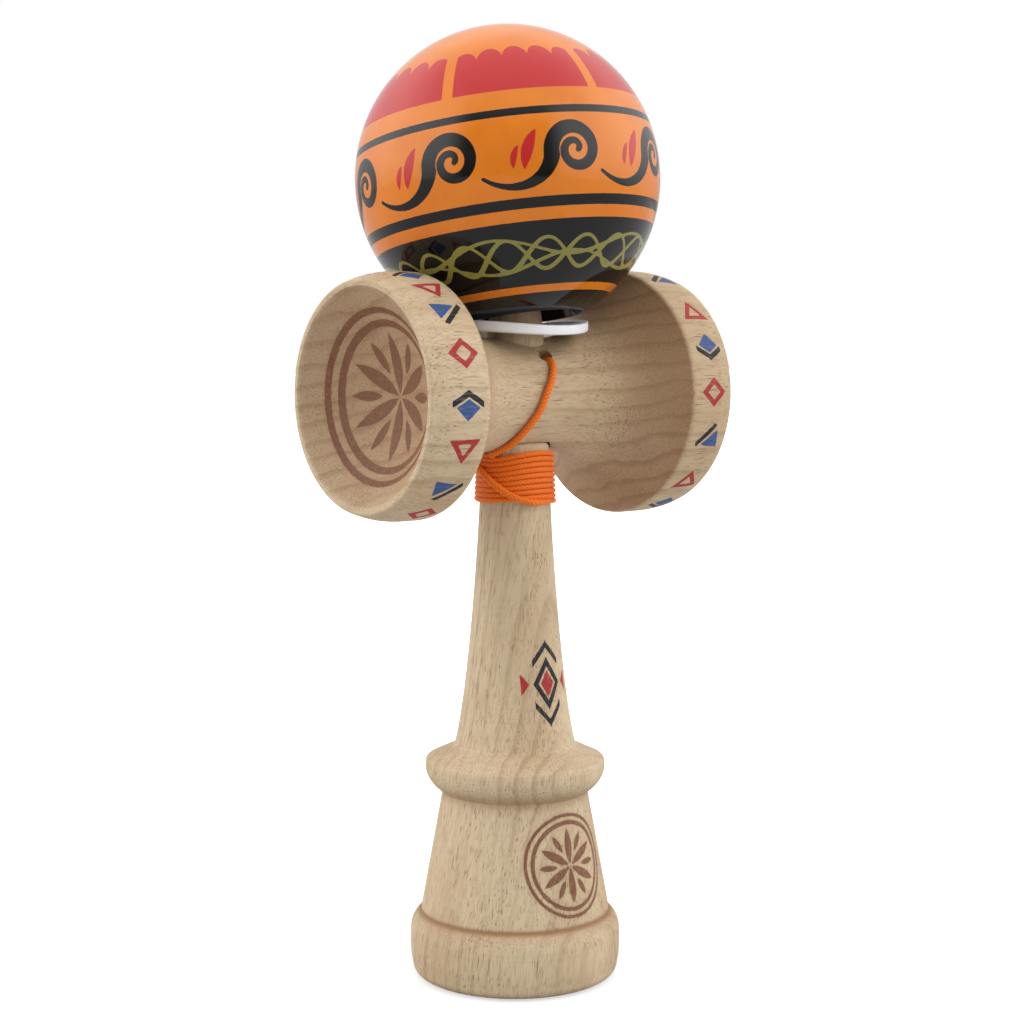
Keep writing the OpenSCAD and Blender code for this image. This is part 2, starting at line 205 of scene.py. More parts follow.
def cut(obj, *cutters):
    """Cuts closed meshes out of a mesh, and drops the cutters."""
    for c in cutters:
        m = obj.modifiers.new("cut", "BOOLEAN")
        m.operation = "DIFFERENCE"
        m.solver = "EXACT"
        m.object = c
    bpy.context.view_layer.update()
    done = bpy.data.meshes.new_from_object(obj.evaluated_get(bpy.context.evaluated_depsgraph_get()))
    obj.modifiers.clear()
    obj.data = done
    for c in cutters:
        bpy.data.objects.remove(c)
    shade(done)


def dress(obj, material, body, slot, *nodes):
    """The piece takes a material, rides on a body unless it is blended, and stands for CAD nodes."""
    obj.data.materials.clear()
    obj.data.materials.append(material)
    if "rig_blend" not in obj:
        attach(obj, body)
    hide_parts(*nodes)


# Drawn shapes: signed distances in mm, negative inside
def polygon(u, v, corners):
    """A convex polygon with its corners counter-clockwise."""
    d = np.full(np.shape(u), -1e9)
    for (ax, ay), (bx, by) in zip(corners, corners[1:] + corners[:1]):
        k = math.hypot(bx - ax, by - ay)
        d = np.maximum(d, ((u - ax) * (by - ay) - (v - ay) * (bx - ax)) / k)
    return d


def diamond(u, v, half_w, half_h):
    return polygon(u, v, [(0, -half_h), (half_w, 0), (0, half_h), (-half_w, 0)])


def hollow(d, width):
    """The rim of a shape, as wide as width, inside its edge."""
    return np.abs(d + width / 2) - width / 2


def chevron_arm(u, v, tip, reach, thick):
    """One arm of a chevron: it falls from (0, tip) to u = reach, and laps over the middle a little."""
    low, lap = tip - 1.15 * reach, 0.2
    return polygon(u, v, [(-lap, tip + lap), (reach, low), (reach, low + thick), (-lap, tip + thick + lap)])


def stroke(u, v, line, half):
    """A line of points with a half width at each."""
    d = np.full(np.shape(u), 1e9)
    for (x, y), w in zip(line, half):
        d = np.minimum(d, np.hypot(u - x, v - y) - w)
    return d


def lens(u, v, x, y, way, spread, size):
    """The overlap of two discs of one size, whose centres lie at (x, y) plus spread to both sides of a direction."""
    discs = [np.hypot(u - x - spread * math.cos(way + t), v - y - spread * math.sin(way + t)) - size
             for t in (math.pi / 2, -math.pi / 2)]
    return np.maximum(*discs)


def hexafoil(u, v, size):
    """A six-petal compass rosette in a double ring, with small leaves between the petals."""
    r = np.hypot(u, v)
    d = np.minimum(np.abs(r - size * 1.09) - size * 0.055, np.abs(r - size * 1.28) - size * 0.045)
    for k in range(6):
        a = math.radians(60 * k + 30)
        petal = lens(u, v, size / 2 * math.cos(a), size / 2 * math.sin(a), a, size * math.sin(math.pi / 3), size)
        m = a + math.pi / 6
        leaf = lens(u, v, size * 0.66 * math.cos(m), size * 0.66 * math.sin(m), m, size * 0.42, size * 0.5)
        d = np.minimum(d, np.minimum(petal + size * 0.02, leaf))
    return d


# Ken
SHAFT = cubic((SHAFT_LOW_R, COLLAR_TOP + 1.8), (SHAFT_LOW_R - 2.35, COLLAR_TOP + 12),
              (NECK_R + 0.4, SHOULDER_Z - 20), (NECK_R, SHOULDER_Z - 0.9), 60)


def shaft_at(z):
    """The shaft's radius at a height."""
    return np.interp(z, SHAFT[:, 1], SHAFT[:, 0])


def ken_profile():
    """The ken's outline from the middle of the base cup up to the spike's tip. It is fine where marks are drawn."""
    ball = (BASE_CUP_R ** 2 + BASE_CUP_DEPTH ** 2) / (2 * BASE_CUP_DEPTH)
    top = math.degrees(math.asin(BASE_CUP_R / ball))
    edge, draft, crown = 2.2, 0.45, 3.3
    foot, ledge, mid = BASE_R - draft - edge, SHAFT_LOW_R + 1.3, COLLAR_Z + 5.4
    groove_z = BASE_H + 0.1
    line = fine(np.vstack([
        arc((0, BASE_CUP_DEPTH - ball), ball, 90, 90 - top + 0.6, 30),
        arc((BASE_CUP_R + 0.35, 0.35), 0.35, 200, 270, 6),
        arc((foot, edge), edge, -90, 0, 16),
        cubic((BASE_R - draft, edge), (BASE_R + 0.1, BASE_H / 3), (BASE_R, BASE_H / 2),
              (BASE_R - 0.1, BASE_H - crown), 12),
        cubic((BASE_R - 0.1, BASE_H - crown), (BASE_R - 0.3, BASE_H - 1.5), (CONE_LOW_R + 1, BASE_H - 0.5),
              (CONE_LOW_R + 0.12, groove_z - 0.1), 18),
        arc((CONE_LOW_R + 0.12, groove_z + 0.12), 0.2, 260, 185, 5),
        [(CONE_LOW_R - 0.02, BASE_H + 0.4), (CONE_TOP_R, COLLAR_Z - 0.15)],
        arc((CONE_TOP_R + 0.18, COLLAR_Z + 0.02), 0.2, 190, 110, 4),
        cubic((CONE_TOP_R + 0.25, COLLAR_Z + 0.3), (CONE_TOP_R + 1.9, COLLAR_Z + 1.4), (COLLAR_R, COLLAR_Z + 3.2),
              (COLLAR_R, mid), 20),
        cubic((COLLAR_R, mid), (COLLAR_R, mid + 0.4), (COLLAR_R, COLLAR_TOP - 3),
              (COLLAR_R - 0.06, COLLAR_TOP - 2.7), 6),
        cubic((COLLAR_R - 0.06, COLLAR_TOP - 2.7), (COLLAR_R - 0.15, COLLAR_TOP - 2.25),
              (COLLAR_R - 0.45, COLLAR_TOP - 2), (COLLAR_R - 1, COLLAR_TOP - 1.8), 10),
        cubic((ledge, COLLAR_TOP), (ledge - 0.8, COLLAR_TOP + 0.2), (SHAFT_LOW_R + 0.1, COLLAR_TOP + 0.9),
              (SHAFT_LOW_R, COLLAR_TOP + 1.8), 10),
        SHAFT[SHAFT[:, 1] < SHOULDER_Z - SHOULDER_EDGE - 0.1],
        arc((NECK_R - SHOULDER_EDGE, SHOULDER_Z - SHOULDER_EDGE), SHOULDER_EDGE, 0, 90, 12),
        [(TANG_R, SHOULDER_Z), (TANG_R, SPIKE_Z), (TANG_R - 0.45, SPIKE_Z + 4)],
        arc((0, TIP_Z - TIP_R), TIP_R, 10, 89.9, 12), [(0, TIP_Z)],
    ]), lambda p: 0.3 if 13 < p[1] < 36 or 50 < p[1] < 71 else 1.2)
    line[0, 0] = 0
    return line


def build_ken():
    obj = make("ken_turned", *revolve(ken_profile(), KEN_ROUND))
    co = points_of(obj)
    z = co[:, 2]
    rad = np.hypot(co[:, 0], co[:, 1])
    outer = rad > 6.5
    u = np.arctan2(co[:, 0], -co[:, 1]) * rad

    v = z - CONE_MARK_Z
    store(obj, "burn", np.where(outer & (np.abs(v) < 11.5), hexafoil(u, v, CONE_MARK_R), NO_INK))

    v = z - SHAFT_MARK_Z
    arms = [chevron_arm(u * side, v * flip, 7.0, 3.2, 1.4) for side in (1, -1) for flip in (1, -1)]
    wings = [polygon(u * side, v, [(4.1, 0), (5.9, -2.2), (5.9, 2.2)]) for side in (1, -1)]
    black = np.minimum.reduce([hollow(diamond(u, v, 3.3, 5.2), 1.0), *arms])
    red = np.minimum.reduce([diamond(u, v, 1.65, 2.6), *wings])
    on_shaft = (np.abs(v) < 11) & outer
    store(obj, "ink_black", np.where(on_shaft, black, NO_INK))
    store(obj, "ink_red", np.where(on_shaft, red, NO_INK))

    def dusk(at, spread):
        return np.exp(-((z - at) / spread) ** 2)

    # Darker bands in the crease under the collar and along the base's groove
    corners = 0.42 * dusk(COLLAR_Z + 0.6, 1.5) + 0.75 * dusk(BASE_H, 0.42) + 0.25 * dusk(BASE_H - 0.6, 1.5)
    # Painted shade on the spike and the tang above the hub, standing in for the shadow of the ball and the cups round
    # it
    spike = (rad < 6) & (z > SPIKE_Z - 1)
    store(obj, "tone", np.where(outer, corners, 0.0) + 0.5 * spike)
    return obj


# Double cup
def cup_profile(reach, rim_r, cup_r, band_w, edge, depth, bowl_step):
    """Half of the double cup: (place along it, radius) from the hub's middle over the rim to the bowl's middle."""
    band = reach - band_w
    bowl_r = rim_r - LIP_W
    ball = (bowl_r ** 2 + depth ** 2) / (2 * depth)
    ball_x = reach - depth + ball
    x = np.linspace(0, band - edge / 2, 40)
    a = math.asin(bowl_r / ball) * np.linspace(1, 0, 40)
    line = np.vstack([
        np.c_[x, HUB_R + (cup_r - edge - HUB_R) * (x / (band - edge / 2)) ** FLARE_POWER],
        cubic((band - edge / 3, cup_r - edge * 0.55), (band, cup_r - edge * 0.2), (band + edge * 0.3, cup_r - 0.05),
              (band + edge, cup_r), 12),
        cubic((band + band_w * 0.4, cup_r), (band + band_w * 0.7, cup_r - 0.05), (reach - 1.6, rim_r + 0.35),
              (reach - LIP_W / 2, rim_r), 24),
        arc((reach - LIP_W / 2, rim_r - LIP_W / 2), LIP_W / 2, 78, -20, 8),
        np.c_[ball_x - ball * np.cos(a), ball * np.sin(a)],
    ])

    def step(p):
        if p[0] > band and p[1] > rim_r - 0.6:
            return 0.32
        return bowl_step if p[1] < bowl_r and p[0] > reach - depth - 1 else 1.0

    return fine(line, step)


def plug(name, r, low, high, at=(0, 0, 0), lean=None, flares=()):
    """A round cutter along Z, or leaned from -Y by an angle, with (height, radius) steps between its ends."""
    end_r = flares[-1][1] if flares else r
    steps = [(0, low), (r, low), *[(wide, h) for h, wide in flares], (end_r, high), (0, high)]
    p, f = revolve(np.array(steps, float), CUTTER_ROUND)
    if lean is not None:
        y = p[:, 1] * math.sin(lean) - p[:, 2] * math.cos(lean)
        z = p[:, 1] * math.cos(lean) + p[:, 2] * math.sin(lean)
        p = np.c_[p[:, 0], y, z]
    return make(name, p + at, f)


def motif(kind, u, v):
    """The ink colours and distances of one mark of the border."""
    if kind == "diamond":
        return [("red", hollow(diamond(u, v, 2.9, 3.0), 1.0))]
    if kind == "triangle":
        return [("red", hollow(polygon(u, v, [(-2.9, 1.9), (0.4, -2.9), (3.1, 2.1)]), 0.9))]
    if kind == "kite":
        arm = [(-0.2, 1.9), (3.0, -0.2), (3.0, 1.0), (-0.2, 3.15)]
        return [("blue", polygon(u, v, [(0, -2.7), (2.3, -0.2), (0, 1.4), (-2.3, -0.2)])),
                ("black", np.minimum(polygon(u, v, arm), polygon(-u, v, arm)))]
    return [("blue", polygon(u, v, [(-2.7, 2.2), (-1.9, -1.7), (1.7, 1.5)])),
            ("black", polygon(u, v, [(-1.7, -2.6), (-0.8, -3.0), (3.0, 0.9), (2.6, 1.9)]))]


# The borders: the side, the band's middle in mm, the marks' angles up from the front, and their order
LEFT_MARKS = [-66, -45, -22.7, -3, 21, 42.5, 58.5, 75, *np.linspace(75, 294, 10)[1:-1]]
RIGHT_MARKS = [-65, -45, -20.6, 1, 22.6, 41.3, 68, 90, *np.linspace(90, 295, 10)[1:-1]]
BORDERS = ((-1, -30.6, LEFT_MARKS, ("diamond", "bar", "triangle", "kite")),
           (1, 31.0, RIGHT_MARKS, ("kite", "triangle", "bar", "diamond")))
MARK_STRETCH = 1.17


def build_cups():
    big = cup_profile(**BIG_CUP, bowl_step=1.2)
    small = cup_profile(**SMALL_CUP, bowl_step=0.42)
    both = np.vstack([np.c_[big[::-1, 1], big[::-1, 0]], np.c_[small[1:, 1], -small[1:, 0]]])[::-1]
    both[0, 0] = both[-1, 0] = 0
    verts, faces = revolve(both, CUP_ROUND)
    obj = make("double_cup", np.c_[verts[:, 2], verts[:, 0], verts[:, 1]] + [0, 0, CUP_Z], faces)
    hole_r = HOLE_D / 2
    cut(obj,
        plug("cut_tang", TANG_R + 0.02, CUP_Z - 40, CUP_Z + 40),
        plug("cut_seat", NECK_R + 0.3, CUP_Z - 60, CUP_Z - HUB_R + 1.6),
        plug("cut_hole", hole_r, 0.5, 30, (HOLE_X, 0, CUP_Z), HOLE_ANGLE,
             [(10.6, hole_r), (11.3, hole_r + 0.12), (12.2, hole_r + 0.5)]))

    x, y, height = (points_of(obj) - [0, 0, CUP_Z]).T
    rad = np.hypot(y, height)
    up_angle = np.degrees(np.arctan2(height, -y))
    ink = {colour: np.full(len(x), NO_INK) for colour in ("red", "blue", "black")}
    for side, middle, places, order in BORDERS:
        for k, at in enumerate(places):
            turned = (up_angle - at + 180) % 360 - 180
            near = (np.abs(turned) < 12) & (np.abs(x - middle) < 5.5) & (rad > 22)
            u = np.where(near, (middle - x) * side / MARK_STRETCH, 50)
            v = np.where(near, -np.radians(turned) * rad * side, 50)
            for colour, d in motif(order[k % len(order)], u, v):
                ink[colour] = np.minimum(ink[colour], d)
    for colour, d in ink.items():
        store(obj, "ink_" + colour, d)

    in_bowl = (x < -20) & (rad < SMALL_CUP["rim_r"] - 1.2) & (x > -SMALL_CUP["reach"] + 0.5)
    store(obj, "burn", np.where(in_bowl, hexafoil(y, height, BOWL_MARK_R), NO_INK))
    lips = [np.where(x * way > cup["reach"] - 3, np.clip((rad - cup["rim_r"] + LIP_W + 0.5) / 0.5, 0, 1), 0.0)
            for way, cup in ((-1, SMALL_CUP), (1, BIG_CUP))]
    store(obj, "lip", np.maximum(*lips))
    return obj


# Tama
axis_x = np.array([1.0, 0, 0]) - TAMA_AXIS * TAMA_AXIS[0]
axis_x /= np.linalg.norm(axis_x)
TAMA_TURN = np.c_[axis_x, np.cross(TAMA_AXIS, axis_x), TAMA_AXIS]

# Ornaments of the ball: latitudes and longitudes in degrees, and the waves' height, phase, half width, count and middle
BLACK_ZONES = ((12.8, 15.7), (-20.2, -16.4), (-51.2, -24.7), (-90, -55.0))
SCROLLS, SCROLL_TURN, SCROLL_MIDDLE = 8, 151, -0.95
LAPPETS, LAPPET_TURN, LAPPET_FOOT, LAPPET_GAP = 6, 150.5, 23.1, 1.05
WAVES = ((3.3, 0, 0.5, 10, -37.4), (3.3, 180, 0.5, 10, -37.4), (2.0, 75, 0.42, 5, -34.2), (2.0, 250, 0.42, 5, -40.6))


def on_tama(p):
    """A point in the ball's own frame, in the part's frame."""
    return np.asarray(p) @ TAMA_TURN.T + TAMA_AT


def arc_mm(degrees):
    """The way along a meridian of the ball."""
    return np.radians(degrees) * TAMA_R


def tama_profile():
    mouth_h = -math.sqrt(TAMA_R ** 2 - MOUTH_R ** 2)
    rim_lat = math.degrees(math.asin(mouth_h / TAMA_R))
    crown_lat = math.degrees(math.acos((CROWN_R + 1.2) / TAMA_R))
    line = np.vstack([
        [(TAMA_HOLE_R, mouth_h + 2.6), (MOUTH_R - 0.25, mouth_h + 0.2), (MOUTH_R - 0.08, mouth_h + 0.08)],
        arc((0, 0), TAMA_R, rim_lat + 0.55, crown_lat, 220),
        [(CROWN_R + 0.7, TAMA_R - 0.45), (CROWN_R + 0.2, TAMA_R - 0.95), (CROWN_R, TAMA_R - 1.6),
         (CROWN_R, HOLE_END + 0.4), (CROWN_R + 0.4, HOLE_END), (TAMA_HOLE_R - 0.5, HOLE_END),
         (TAMA_HOLE_R, HOLE_END - 0.5)],
    ])
    return fine(line, lambda p: 0.4 if np.hypot(*p) > 29.8 else 2.0)


def scroll_inks(u, v):
    """A spiral that runs in from the scroll before it, and its two leaves."""
    t = np.linspace(0, 1, 110)
    a = np.radians(190 - 560 * t)
    r = 4.9 * (1 - t) ** 0.85 + 0.5 * t
    spiral = np.c_[r * np.cos(a) + 0.6, r * np.sin(a) + 0.6]
    run_in = cubic((-17.5, -3.4), (-12.5, -7.2), (-5.6, -5.6), spiral[0], 60)[:-1]
    half = np.r_[0.36 + 1.19 * np.linspace(0, 1, 60) ** 1.3, 1.55 * (1 - t) ** 1.2 + 0.55 * t]
    long_leaf = cubic((-9.6, -2.4), (-9.2, 0.4), (-8.4, 2.6), (-6.6, 4.9), 24)
    short_leaf = cubic((-11.6, -2.2), (-11.8, -0.6), (-11.2, 0.9), (-10.2, 2.2), 18)
    leaves = [stroke(u, v, leaf, wide * np.sin(np.linspace(0.15, math.pi, len(leaf))) + 0.02)
              for leaf, wide in ((long_leaf, 1.1), (short_leaf, 0.6))]
    return stroke(u, v, np.vstack([run_in, spiral]), half), np.minimum(*leaves)


def build_tama():
    verts, faces = revolve(tama_profile(), TAMA_ROUND, closed=True)
    obj = make("tama_ball", on_tama(verts) - TAMA_DROP, faces)
    local = (points_of(obj) - TAMA_AT + TAMA_DROP) @ TAMA_TURN
    size = np.linalg.norm(local, axis=1)
    skin = size > TAMA_R - 0.4
    lat = np.degrees(np.arcsin(np.clip(local[:, 2] / np.maximum(size, 1), -1, 1)))
    lon = np.degrees(np.arctan2(local[:, 1], local[:, 0]))
    up = arc_mm(lat)
    wide = np.cos(np.radians(lat)) * TAMA_R
    black = np.minimum.reduce([np.maximum(arc_mm(low) - up, up - arc_mm(high)) for low, high in BLACK_ZONES])
    red = np.full(len(lat), NO_INK)
    olive = np.full(len(lat), NO_INK)

    # Running scrolls between the two stripes
    unit = 360 / SCROLLS
    cell = (lon + SCROLL_TURN + unit / 2) % unit - unit / 2
    idx = np.where(skin & (lat > -17) & (lat < 14))[0]
    for shift in (-1, 0, 1):
        scroll, leaves = scroll_inks(arc_mm(cell[idx] + shift * unit), up[idx] - SCROLL_MIDDLE)
        black[idx] = np.minimum(black[idx], scroll)
        red[idx] = np.minimum(red[idx], leaves)

    # Lappets with scalloped tops above the upper stripe
    unit = 360 / LAPPETS
    from_gap = np.abs(np.radians((lon + LAPPET_TURN + unit / 2) % unit - unit / 2) * wide)
    lobe = (lon + LAPPET_TURN) % unit / unit
    scallop = np.sqrt(np.maximum(0, 1 - ((lobe * 5) % 1 * 2 - 1) ** 2))
    top = arc_mm(37.0 + 6.0 * scallop + 2.0 * np.sin(lobe * math.pi))
    panel = np.maximum.reduce([arc_mm(LAPPET_FOOT) - up, (up - top) * 0.6, LAPPET_GAP - from_gap])
    red = np.minimum(red, panel)

    # Crossing waves on the black zone
    for height, phase, width, count, middle in WAVES:
        a = np.radians(lon * count + phase)
        slope = height * count * np.cos(a) / np.maximum(wide, 1)
        half = width * (0.8 + 0.2 * np.cos(a + 0.6))
        d = np.abs(up - arc_mm(middle) - height * np.sin(a)) / np.sqrt(1 + slope ** 2) - half
        olive = np.minimum(olive, d)

    store(obj, "ink_black", np.where(skin, black, -2))
    store(obj, "ink_red", np.where(skin, red, NO_INK))
    store(obj, "ink_olive", np.where(skin, olive, NO_INK))
    store(obj, "skin", skin.astype(float))
    return obj


# Spacer ring, bowed over the hub
def build_ring():
    out, bore, top = RING_R - RING_EDGE, RING_BORE_R + RING_EDGE, RING_T - RING_EDGE
    corners = [((out, RING_EDGE), -90), ((out, top), 0), ((bore, top), 90), ((bore, RING_EDGE), 180)]
    section = np.vstack([arc(c, RING_EDGE, a, a + 90, 5) for c, a in corners])
    rings = []
    for a in np.arange(RING_ROUND) * 2 * math.pi / RING_ROUND:
        x, y = section[:, 0] * math.cos(a), section[:, 0] * math.sin(a)
        bow = BOW_R - np.sqrt(BOW_R ** 2 - x ** 2)
        rings.append(np.c_[x, y, RING_Z + bow + RING_LEAN * y + RING_ROLL * x + section[:, 1]])
    verts, faces = loft(rings, closed=True)
    return make("spacer_ring_plastic", verts, [f[::-1] for f in faces], sharp=60)


# String: the run from the hub's hole to the neck, the winding, and the run up the back into the ball's crown
LEAD = [(1, -5.1, 122.2), (1.2, -6.9, 123.3), (1.4, -8.45, 123.8), (1.4, -9.55, 123.3), (1.0, -10.35, 122.2),
        (0.3, -11, 120.9), (-0.6, -11.55, 119.4), (-1.5, -11.8, 118.1), (-2.4, -11.8, 116.2), (-3.4, -11.5, 114),
        (-4.4, -10.9, 112.2), (-5.4, -10, 110.5), (-6.3, -8.6, 108.8), (-7.1, -6.9, 107.3), (-7.8, -4.6, 106.2),
        (-8, -2.6, 105.5)]
RISER = [(-4.5, -7.2, 96.6), (-6.65, -5.2, 97.9), (-8, -2.9, 99.7), (-8.5, -0.9, 101.3), (-8.4, 1.3, 102.6),
         (-7.6, 3.6, 103.4), (-6.2, 5.8, 104.2), (-4.3, 7.8, 105), (-2.3, 9.6, 106.4), (-0.9, 11.3, 108.6),
         (-0.3, 12.3, 111.4), (0, 12.6, 114.4), (0, 12.6, 117.4), (0, 12.8, 120.4), (0, 13.5, 123.2), (0, 14.7, 126),
         (0, 16, 128.7), (0, 17.4, 131.4), (-0.4, 19.2, 133.7), (-0.8, 21.4, 135.8), (-1.2, 23.8, 138.1),
         (-1.2, 25.9, 140.6), (-1.2, 27.7, 143.3), (-1.2, 29.1, 146.3), (-1.2, 30.3, 149.3), (-1.2, 31.2, 152.4),
         (-1.2, 31.8, 155.6), (-1.2, 32, 158.8), (-1.2, 31.9, 162), (-1.2, 31.4, 165.2), (-1.2, 30.6, 168.4),
         (-1.2, 29.5, 171.4), (-1.2, 28.1, 174.3), (-1.2, 26.4, 177.1), (-1.2, 24.4, 179.6), (-1.2, 22.2, 182),
         (-1.3, 19.7, 184.1), (-1.5, 17, 185.9), (-1.7, 14.2, 187.5), (-1.9, 11.4, 188.1), (-2, 8.8, 188.9),
         (-2.1, 7, 188.8), (-2.2, 5.9, 187.8), (-2.1, 5.3, 186.1)]
TAIL_HEIGHTS = (24.0, 20.0, 16.0, 12.0, BEAD_KNOT_AT + 1.9)
WRAP_TOP, WRAP_PITCH, WRAP_START, WRAP_END, WRAP_TURNS, WRAP_POINTS = 105.15, 0.985, 190, 262, 10, 1500
PRESS_OUT, PRESS_SIDE = 0.12, 0.165
# Points per stretch of a smoothed line, and how far into the winding the runs take their direction from
SMOOTH_STEPS, JOIN_POINT = 12, 25


def smooth(points):
    """A Catmull-Rom line through points."""
    p = np.asarray(points, float)
    p = np.vstack([2 * p[0] - p[1], p, 2 * p[-1] - p[-2]])
    t = np.linspace(0, 1, SMOOTH_STEPS, endpoint=False)[:, None]
    out = [0.5 * (2 * b + (c - a) * t + (2 * a - 5 * b + 4 * c - d) * t ** 2 + (3 * b - a - 3 * c + d) * t ** 3)
           for a, b, c, d in zip(p, p[1:], p[2:], p[3:])]
    return np.vstack(out + [p[-2:-1]])


def line_length(points):
    return np.linalg.norm(np.diff(points, axis=0), axis=1).sum()


def even(points, step):
    """The line with points at an even step, and each point's distance along it."""
    s = np.r_[0, np.cumsum(np.linalg.norm(np.diff(points, axis=0), axis=1))]
    at = np.linspace(0, s[-1], int(s[-1] / step) + 1)
    return np.c_[[np.interp(at, s, points[:, k]) for k in range(3)]].T, at


def unit_rows(p):
    return p / np.linalg.norm(p, axis=-1, keepdims=True)


def winding():
    """The turns round the neck. They rise at the front and the back, most in the upper turns, and the end lifts."""
    sweep = WRAP_TURNS * 360 + WRAP_START - WRAP_END
    turned = np.linspace(0, sweep, WRAP_POINTS)
    a = np.radians(WRAP_START - turned)
    row = turned / 360
    rise = (0.45 + 0.85 * np.clip(1 - row / 9, 0, 1)) * np.clip(row / 0.3, 0, 1) * (1 - np.cos(2 * a)) / 2
    lift = 0.6 * (np.clip(turned - sweep + 40, 0, 40) / 40) ** 2
    z = WRAP_TOP - WRAP_PITCH * row + rise
    r = shaft_at(z) + CORD_D / 2 - PRESS_OUT + lift
    return np.c_[r * np.cos(a), r * np.sin(a), z]


def strands(theta, along, pitch, shift=0.0):
    """The braid's height round and along a cord: two sets of strands that cross."""
    return np.maximum(np.cos(4 * theta[None] + pitch * along[:, None]),
                      np.cos(4 * theta[None] - pitch * along[:, None] + shift))


def build_string():
    """The whole string as one tube, pressed a little flat in its turns, and the line that it follows."""
    wrap = winding()
    tail = [on_tama((0, 0, h)) for h in TAIL_HEIGHTS]
    lead = smooth([*LEAD, wrap[0], wrap[JOIN_POINT]])[:-SMOOTH_STEPS]
    rise = smooth([wrap[-JOIN_POINT - 1], wrap[-1], *RISER, *tail])[SMOOTH_STEPS:]
    path, along = even(np.vstack([lead, wrap[1:-1], rise]), CORD_STEP)
    lead_end = line_length(lead)
    wrap_end = lead_end + line_length(wrap)

    tangent = unit_rows(np.gradient(path, axis=0))
    out = np.zeros_like(path)
    start, stop = np.searchsorted(along, [lead_end + 1, wrap_end - 1])
    for i in [*range(start, stop), *range(start - 1, -1, -1), *range(stop, len(path))]:
        if start <= i < stop:
            e = np.array([path[i, 0], path[i, 1], 0])
        else:
            e = out[i + 1] if i < start else out[i - 1]
        out[i] = unit_rows(e - tangent[i] * (e @ tangent[i]))
    side = np.cross(tangent, out)

    pressed = np.clip(np.minimum(along - lead_end + 1, wrap_end + 0.5 - along) / 3, 0, 1)
    half_out = (CORD_D / 2 - pressed * PRESS_OUT)[:, None, None]
    half_side = (CORD_D / 2 - pressed * PRESS_SIDE)[:, None, None]
    theta = np.arange(CORD_SIDES) * 2 * math.pi / CORD_SIDES
    braid = strands(theta, along, 7.5, 0.4)
    grow = 1 + 0.035 * (braid - 0.45)
    rings = path[:, None] + grow[..., None] * (half_out * np.cos(theta)[None, :, None] * out[:, None]
                                               + half_side * np.sin(theta)[None, :, None] * side[:, None])
    obj = make("string_braid", *loft(rings), sharp=180)
    # The braid's height, which the cord's colour uses for painted shade in the grooves and painted highlight on the
    # crests
    store(obj, "braid_shade", braid.ravel())
    return obj, path, along[-1]


def build_knot(name, centre, size, turn_matrix):
    """A tight overhand knot of cord."""
    t = np.arange(KNOT_STEPS) * 2 * math.pi / KNOT_STEPS
    p = np.c_[np.sin(t) + 2 * np.sin(2 * t), np.cos(t) - 2 * np.cos(2 * t), -1.6 * np.sin(3 * t)]
    r = size * 0.25
    p *= (size / 2 - r) / 3
    tangent = unit_rows(np.gradient(np.vstack([p[-1:], p, p[:1]]), axis=0)[1:-1])
    e = unit_rows(np.cross(tangent, [0.21, 0.13, 0.97]))
    f = np.cross(tangent, e)
    theta = np.arange(KNOT_SIDES) * 2 * math.pi / KNOT_SIDES
    tube = p[:, None] + r * (np.cos(theta)[None, :, None] * e[:, None] + np.sin(theta)[None, :, None] * f[:, None])
    verts, faces = loft(tube @ np.asarray(turn_matrix).T + centre, closed=True)
    obj = make(name, verts, faces, sharp=180)
    store(obj, "braid_shade", strands(theta, np.arange(KNOT_STEPS), 0.45).ravel())
    return obj


# Materials
def srgb(r, g, b):
    def linear(c):
        c /= 255
        return c / 12.92 if c <= 0.04045 else ((c + 0.055) / 1.055) ** 2.4
    return (linear(r), linear(g), linear(b), 1)


